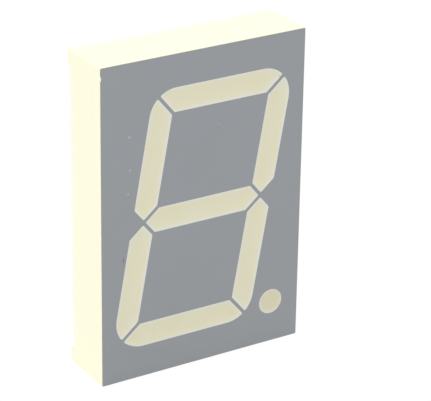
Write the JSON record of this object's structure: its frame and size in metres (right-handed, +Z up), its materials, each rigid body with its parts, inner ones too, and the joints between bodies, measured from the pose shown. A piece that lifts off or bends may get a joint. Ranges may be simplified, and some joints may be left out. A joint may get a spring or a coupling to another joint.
{
  "type": "seven segment display",
  "caption": "Leaning digit of lit bars with a decimal point, in a flat moulded housing with pins at the back; shows one numeral when soldered to a board.",
  "frame": {"origin": "on the surface the display stands on, under the middle of the whole part's box", "axes": "+X to the right as the digit is read, +Y from the face to the pins, +Z up the digit"},
  "size_m": [0.038, 0.0166, 0.056],
  "materials": {
    "housing_plastic": "moulded, fine satin",
    "face_ink": "printed, matt",
    "diffused_resin": "cast, milky, satin",
    "board": "glass fibre with white mask",
    "copper": "etched copper",
    "light_chip": "sawn semiconductor",
    "bond_wire": "drawn wire",
    "tinned_pin": "drawn copper alloy wire, tin plated",
    "solder": "reflowed tin solder",
    "potting_resin": "cast, milky, glossy"
  },
  "bodies": {
    "root": {"reflector_housing": "housing_plastic", "face_print": "face_ink", "segment_a_fill": "diffused_resin", "segment_b_fill": "diffused_resin", "segment_c_fill": "diffused_resin", "segment_d_fill": "diffused_resin", "segment_e_fill": "diffused_resin", "segment_f_fill": "diffused_resin", "segment_g_fill": "diffused_resin", "decimal_point_fill": "diffused_resin", "circuit_board": "board", "copper_tracks": "copper", "segment_a_chips": "light_chip", "segment_b_chips": "light_chip", "segment_c_chips": "light_chip", "segment_d_chips": "light_chip", "segment_e_chips": "light_chip", "segment_f_chips": "light_chip", "segment_g_chips": "light_chip", "decimal_point_chips": "light_chip", "segment_a_wires": "bond_wire", "segment_b_wires": "bond_wire", "segment_c_wires": "bond_wire", "segment_d_wires": "bond_wire", "segment_e_wires": "bond_wire", "segment_f_wires": "bond_wire", "segment_g_wires": "bond_wire", "decimal_point_wires": "bond_wire", "pin_1": "tinned_pin", "pin_2": "tinned_pin", "pin_3": "tinned_pin", "pin_4": "tinned_pin", "pin_5": "tinned_pin", "pin_6": "tinned_pin", "pin_7": "tinned_pin", "pin_8": "tinned_pin", "pin_9": "tinned_pin", "pin_10": "tinned_pin", "solder_joints": "solder", "back_potting": "potting_resin"}
  },
  "joints": []
}
